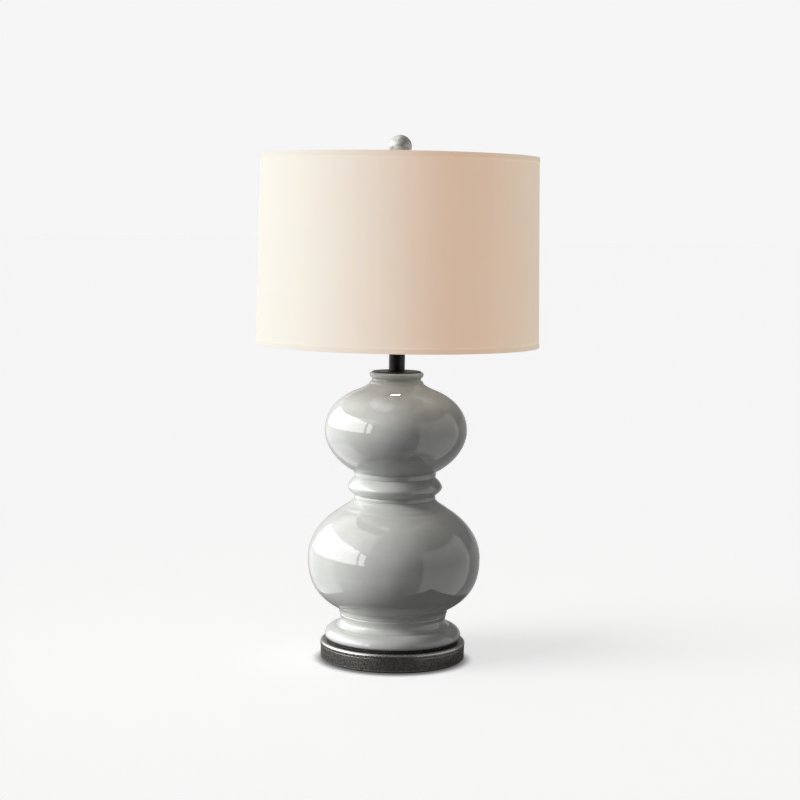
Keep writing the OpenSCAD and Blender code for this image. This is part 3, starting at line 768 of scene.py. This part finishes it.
def shade_cloth(material):
    """The cloth, laminated to its lining: a thin shell whose outside is not quite even."""
    line, closed = outline_of("shade_fabric")
    middle = (line[:, 0].max() + line[:, 0].min()) / 2
    height_of = np.ptp(line[:, 1])
    slope = (line[:, 0].max() - line[line[:, 1] > line[:, 1].mean(), 0].max()) / height_of
    bottom, outer = line[:, 1].min(), line[:, 0].max()

    def uneven(angle, radius, height):
        outside = radius > outer - slope * (height - bottom) - 0.1 * MM
        return radius + outside * (0.12 * MM + 0.1 * MM * drum_waves(angle, height)), height

    fine = smooth(line, closed, 9 * MM, 0.15 * MM)
    piece = lathe("shade_cloth", fine, 288, material, uneven)
    stand_for(piece, "shade", "shade_cloth", "shade_fabric")
    return piece, (2 * math.pi * middle, height_of)


def shade_seam(material):
    """The lap where the cloth's ends meet at the back: a strip with rounded edges."""
    low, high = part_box("shade_seam")
    top = [v.co.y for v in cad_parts["shade_seam"].data.vertices if v.co.z > high.z - MM]
    slope = (high.y - max(top)) / (high.z - low.z)
    columns, rows, thick = 24, 48, 0.3 * MM
    verts, faces = [], []
    for side in (0, 1):
        for i in range(rows + 1):
            z = low.z + (high.z - low.z) * i / rows
            outer = high.y - slope * (z - low.z)
            for k in range(columns + 1):
                t = 2 * k / columns - 1
                x = t * high.x
                edge = math.sqrt(max(0.0, 1 - abs(t) ** 12))
                lift = thick * (edge * 0.85 + 0.05) if side else 0.0
                r = outer - thick + lift
                verts.append((r * math.sin(x / r), r * math.cos(x / r), z))
    stride, half = columns + 1, (rows + 1) * (columns + 1)
    for i in range(rows):
        for k in range(columns):
            a = i * stride + k
            face = [a, a + 1, a + stride + 1, a + stride]
            faces.append(face)
            faces.append([half + v for v in reversed(face)])
    border = list(range(stride))
    border += [i * stride + columns for i in range(1, rows + 1)]
    border += [rows * stride + k for k in range(columns - 1, -1, -1)]
    border += [i * stride for i in range(rows - 1, 0, -1)]
    for a, b in zip(border, border[1:] + border[:1]):
        faces.append([b, a, half + a, half + b])
    piece = mesh_object("shade_seam_lap", verts, faces, material)
    return stand_for(piece, "shade", "shade_cloth", "shade_seam")


def rim_tape(name, node, material, seed):
    """A folded tape over a rim, with a hem that wanders slightly."""
    low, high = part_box(node)
    rim = high.z if "top" in node else low.z
    hem = (low.z + high.z) - rim
    random = np.random.default_rng(seed)
    parts = [(k, random.uniform(0, 2 * math.pi), random.normal()) for k in range(7, 47, 4)]

    def wander(angle, radius, height):
        wave = sum(a * np.sin(k * angle + p) for k, p, a in parts) / math.sqrt(len(parts))
        share = np.clip((height - rim) / (hem - rim), 0, 1) ** 2
        return radius, height + 0.12 * MM * wave * share

    return turned(name, node, "shade", "shade_tape", material, 288, 2.5 * MM, 0.22 * MM, wander)


def shade():
    """The drum: lining, cloth, seam and the two rim tapes."""
    turned("shade_lining", "shade_liner", "shade", "shade_lining", lining(), 192, 10 * MM, 0.2 * MM)
    # The second number is the strength of the cloth's painted glow, a little weaker on the doubled tape.
    cream = cloth("cream_cloth", 1.0, CREAM)
    drum, flat = shade_cloth(cream)
    tape = cloth("tape_cloth", 0.95, TAPE, cross=True)
    trims = [
        shade_seam(cream),
        rim_tape("shade_top_tape", "shade_top_trim", tape, SEED + 1),
        rim_tape("shade_bottom_tape", "shade_bottom_trim", tape, SEED + 2),
    ]


# ---------------------------------------------------------------- CAD nodes that keep their shape


def repaint(material, *nodes):
    """Gives CAD nodes that stay a procedural material."""
    for node in nodes:
        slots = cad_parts[node].data.materials
        slots.clear()
        slots.append(material)


def hardware():
    """Finishes for the hardware whose CAD shape is already right."""
    repaint(brass, "rod_bottom_nut", "saddle_nut", "socket_cap", "socket_shell")
    repaint(brass, "socket_contact", "terminal_screws", "switch_shaft")
    repaint(steel, "rod_lock_washer", "rod_flat_washer")
    repaint(steel, "shade_spider", "shade_top_ring", "shade_bottom_ring")
    repaint(antique_brass, "harp_saddle", "harp_bow", "harp_ferrule_left", "harp_ferrule_right")
    repaint(aluminium, "socket_screw_shell")
    repaint(black_plastic, "cord_bushing", "socket_interior", "switch_knob")
    repaint(white_plastic, "bulb_led_board")
    repaint(card(), "socket_liner")
    repaint(solder(), "bulb_contact")


base_plate()
felt_pad()
turned("foot_ring", "foot_gasket", "base", "rubber", rubber(), 128, 1.5 * MM, 0.25 * MM)
ceramic_body()
turned("mouth_cap", "vase_cap", "base", "black_metal", black_finish, 128, MM, 0.25 * MM)
turned("neck_sleeve", "neck_tube", "base", "black_metal", black_finish, 96, 2 * MM, 0.2 * MM)
turned("neck_collar", "neck_washer", "base", "black_metal", black_finish, 96, MM, 0.3 * MM)
lamp_pipe()
swivel_stud()
bulb()
finial()
shade()
hardware()


# ---------------------------------------------------------------- camera, light and floor

PALE = 0.9216
CAMERA_PLACE = (0.0053, -2.6288, 0.6217)
CAMERA_PITCH = 0.0933
CAMERA_ROLL = 0.0163
SENSOR = 36.0
# The focal length over the picture's width.
FOCAL_SHARE = 2.29525


def camera():
    """A long lens a little above the lamp's middle, tipped down and slightly rolled."""
    lens = bpy.data.cameras.new("camera")
    lens.sensor_width = SENSOR
    lens.lens = SENSOR * FOCAL_SHARE
    lens.clip_end = 200
    obj = bpy.data.objects.new("camera", lens)
    tip = Matrix.Rotation(math.pi / 2 - CAMERA_PITCH, 4, "X") @ Matrix.Rotation(CAMERA_ROLL, 4, "Z")
    obj.matrix_world = Matrix.Translation(CAMERA_PLACE) @ tip
    bpy.context.scene.collection.objects.link(obj)
    bpy.context.scene.camera = obj


def sun(name, azimuth, elevation, colour, strength, spread):
    """A broad distant light. Azimuth 0 is in front of the lamp and 90 on its right.

    A strength of 1 lights a white face that looks at it to 1.
    """
    light = bpy.data.lights.new(name, "SUN")
    light.energy = strength * math.pi
    light.color = colour
    light.angle = math.radians(spread)
    obj = bpy.data.objects.new(name, light)
    a, e = math.radians(azimuth), math.radians(elevation)
    towards = Vector((math.sin(a) * math.cos(e), -math.cos(a) * math.cos(e), math.sin(e)))
    obj.matrix_world = towards.to_track_quat("Z", "Y").to_matrix().to_4x4()
    obj.visible_glossy = False
    bpy.context.scene.collection.objects.link(obj)
    return obj


GLINT_SIZE = (15 * MM, 2.6 * MM)
GLINT_POWER = 0.0045
GLINT_ELEVATION = math.radians(55)
GLINT_AWAY = 13 * MM
GLINT_BELOW_MOUTH = (-1.5 * MM, -62.5 * MM, -33 * MM)


def glint():
    """A small glint that only the gloss of the ceramic's shoulder mirrors."""
    light = bpy.data.lights.new("glint", "AREA")
    light.shape = "ELLIPSE"
    light.size, light.size_y = GLINT_SIZE
    light.energy = GLINT_POWER
    obj = bpy.data.objects.new("glint", light)
    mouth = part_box("vase_cap")[1].z
    shoulder = Vector((0, 0, mouth)) + Vector(GLINT_BELOW_MOUTH)
    towards = Vector((0, math.cos(GLINT_ELEVATION), math.sin(GLINT_ELEVATION)))
    turned_to = towards.to_track_quat("Z", "Y").to_matrix().to_4x4()
    obj.matrix_world = Matrix.Translation(shoulder + GLINT_AWAY * towards) @ turned_to
    obj.visible_diffuse = obj.visible_camera = False
    bpy.context.scene.collection.objects.link(obj)
    only_for(obj, pieces("ceramic_gourd"), "INCLUDE")


def pieces(*names):
    return [bpy.data.objects[name] for name in names]


def group(name, members):
    """A collection of the members, for light linking."""
    made = bpy.data.collections.new(name)
    for member in members:
        made.objects.link(member)
    return made


def only_for(light, members, state):
    """The light falls only on the members (INCLUDE), or on all but them (EXCLUDE)."""
    lit = group(light.name + "_receivers", members)
    for entry in lit.collection_objects:
        entry.light_linking.link_state = state
    light.light_linking.receiver_collection = lit


def lights(ground):
    """Window light from the left for the body, the cloth and the floor, and weak fill from elsewhere."""
    cloths = pieces("shade_cloth", "shade_seam_lap", "shade_top_tape", "shade_bottom_tape")
    key = sun("window_on_body", -80, 21, (1, 1, 0.99), 1.08, 26)
    only_for(key, [*cloths, ground], "EXCLUDE")
    daylight = sun("window_on_shade", -73, 15, (0.5, 0.8, 1), 0.84, 26)
    only_for(daylight, cloths, "INCLUDE")
    edge = sun("far_wall_on_shade", 118, 10, (0.25, 0.86, 1), 0.28, 30)
    only_for(edge, cloths, "INCLUDE")
    across = sun("window_on_floor", -69, 37, (1, 1, 1), 0.32, 40)
    only_for(across, [ground], "INCLUDE")
    shading = pieces("ceramic_gourd", "metal_base", "felt_pad", "foot_ring")
    across.light_linking.blocker_collection = group("floor_shadow", shading)
    ceiling = sun("ceiling", -70, 52, (1, 1, 1), 0.08, 30)
    only_for(ceiling, [*cloths, ground], "EXCLUDE")
    shading = pieces("ceramic_gourd", "metal_base")
    ceiling.light_linking.blocker_collection = group("body_shadow", shading)
    unlit = pieces("ceramic_gourd", "neck_sleeve", "mouth_cap")
    only_for(bpy.data.objects["bulb_globe"], unlit, "EXCLUDE")


class Sky(Nodes):
    """The world's node tree. Directions are an azimuth from the front and an elevation, in radians."""

    def __init__(self):
        world = bpy.data.worlds.new("studio")
        bpy.context.scene.world = world
        world.use_nodes = True
        self.tree = world.node_tree
        self.tree.nodes.clear()
        place = self.node("TexCoord").outputs["Generated"]
        x, y, z = (self.node("SeparateXYZ", Vector=place).outputs[i] for i in range(3))
        self.azimuth = self.math("ARCTAN2", x, self.math("MULTIPLY", y, -1.0))
        self.elevation = self.math("ARCSINE", z)
        away = self.math("MAXIMUM", self.math("MULTIPLY", x, -1.0), 0.001)
        self.back, self.up = self.math("DIVIDE", y, away), self.math("DIVIDE", z, away)

    def band(self, value, low, high, soft):
        """1 where value is between low and high degrees, with soft ends."""
        low, high, soft = (math.radians(n) for n in (low, high, soft))
        rise = self.spread(value, low - soft, low + soft)
        return self.math("MULTIPLY", rise, self.spread(value, high - soft, high + soft, 1.0, 0.0))

    def window(self, backs, ups, soft=0.025):
        """1 inside a rectangle on the left wall, which is 1 away: from front to back, and in height."""
        inside = 1.0
        for value, (low, high) in ((self.back, backs), (self.up, ups)):
            inside = self.math("MULTIPLY", inside, self.spread(value, low - soft, low + soft))
            inside = self.math("MULTIPLY", inside, self.spread(value, high - soft, high + soft, 1.0, 0.0))
        return inside

    def patch(self, azimuths, elevations, soft):
        """1 inside a patch of the sky."""
        side = self.band(self.azimuth, *azimuths, soft)
        return self.math("MULTIPLY", side, self.band(self.elevation, *elevations, soft))


# Each soft patch of the room: azimuths, elevations, brightness and softness, with the angles in degrees.
ROOM_PATCHES = (
    ((-180, -60), (-60, 70), 0.5, 14),
    ((-145, -36), (28, 87), 1.6, 8),
    ((-152, -86), (-56, -27), 1.6, 8),
    ((40, 121), (-50, 33), 0.88, 3),
    ((116, 190), (-62, 6), 0.36, 6),
    ((-152, -88), (-28, 0), 0.8, 8),
    ((-190, 190), (-100, -50), 0.2, 8),
    ((22, 112), (-66, -12), 0.4, 8),
)
# The window's two panes on a wall that is 1 away: from front to back, and in height.
PANES = ((-0.80, 1.45), (-1.2, -0.89))
PANE_HEIGHTS = (0.03, 0.74)


def studio():
    """Pale to the camera. Gloss sees a dim room: a barred window on the left, a pale wall on the right."""
    sky = Sky()
    room = sky.spread(sky.elevation, math.radians(-25), math.radians(60), 0.06, 0.38)
    for azimuths, elevations, bright, soft in ROOM_PATCHES:
        lit = sky.math("MULTIPLY", sky.patch(azimuths, elevations, soft), bright)
        room = sky.math("ADD", room, lit)
    fading = sky.spread(sky.back, -0.6, 1.4, 6.0, 3.0)
    for backs in PANES:
        room = sky.math("ADD", room, sky.math("MULTIPLY", sky.window(backs, PANE_HEIGHTS), fading))
    ambient = sky.spread(sky.elevation, math.radians(-60), math.radians(60), 0.11, 0.18)
    path = sky.node("LightPath")
    seen = sky.blend(path.outputs["Is Glossy Ray"], ambient, room)
    seen = sky.blend(path.outputs["Is Camera Ray"], seen, (PALE, PALE, PALE))
    shader = sky.node("Background", Color=seen)
    output = sky.node("OutputWorld")
    sky.tree.links.new(shader.outputs[0], output.inputs["Surface"])


def quad(name, half, height, material):
    """A square on the ground."""
    mesh = bpy.data.meshes.new(name)
    corners = [(x * half, y * half, height) for x, y in ((-1, -1), (1, -1), (1, 1), (-1, 1))]
    mesh.from_pydata(corners, [], [(0, 1, 2, 3)])
    mesh.materials.append(material)
    obj = bpy.data.objects.new(name, mesh)
    bpy.context.scene.collection.objects.link(obj)
    return obj


FLOOR_ALBEDO = 0.8
FLOOR_LIFT = 0.623
# The painted contact shadow round the base: the shift of its centre, and how far it reaches inside and
# outside the base's edge.
PAINTED_SHADOW_SHIFT = 7 * MM
PAINTED_SHADOW_INNER = 6 * MM
PAINTED_SHADOW_OUTER = 15 * MM
FLOOR_HALF = 90
TABLE_HALF = 200 * MM
TABLE_DROP = 0.3 * MM


def floor():
    """A floor as bright as the backdrop for the camera, with a painted contact shadow round the base, and a
    grey table that only gloss sees.
    """
    pale = Nodes("floor", Roughness=1.0, Specular_IOR_Level=0.0, Emission_Strength=FLOOR_LIFT)
    x, y = (pale.node("SeparateXYZ", Vector=pale.place).outputs[i] for i in range(2))
    # Painted contact shadow: the floor's colour and glow darken towards the base's edge, down to 0.2 at the
    # darkest.
    y = pale.math("ADD", y, PAINTED_SHADOW_SHIFT)
    away = pale.math("SQRT", pale.math("MULTIPLY_ADD", x, x, pale.math("MULTIPLY", y, y)))
    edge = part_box("base_plate")[1].x
    lit = pale.spread(away, edge - PAINTED_SHADOW_INNER, edge + PAINTED_SHADOW_OUTER, 0.2, 1.0)
    near = pale.blend(lit, (0.0, 0.0, 0.0), (FLOOR_ALBEDO,) * 3)
    pale.set(Base_Color=near, Emission_Color=pale.blend(lit, (0.0, 0.0, 0.0), (1.0, 1.0, 1.0)))
    pale.material.cycles.emission_sampling = "NONE"
    ground = quad("floor", FLOOR_HALF, 0, pale.material)
    ground.visible_diffuse = ground.visible_glossy = False
    grey = Nodes("table_seen_in_gloss", Roughness=1.0, Specular_IOR_Level=0.0)
    grey.set(Base_Color=(0.6, 0.6, 0.59))
    table = quad("table_seen_in_gloss", TABLE_HALF, -TABLE_DROP, grey.material)
    table.visible_camera = table.visible_diffuse = table.visible_shadow = False
    return ground


camera()
lights(floor())
glint()
studio()
bpy.context.scene.view_settings.view_transform = "Standard"
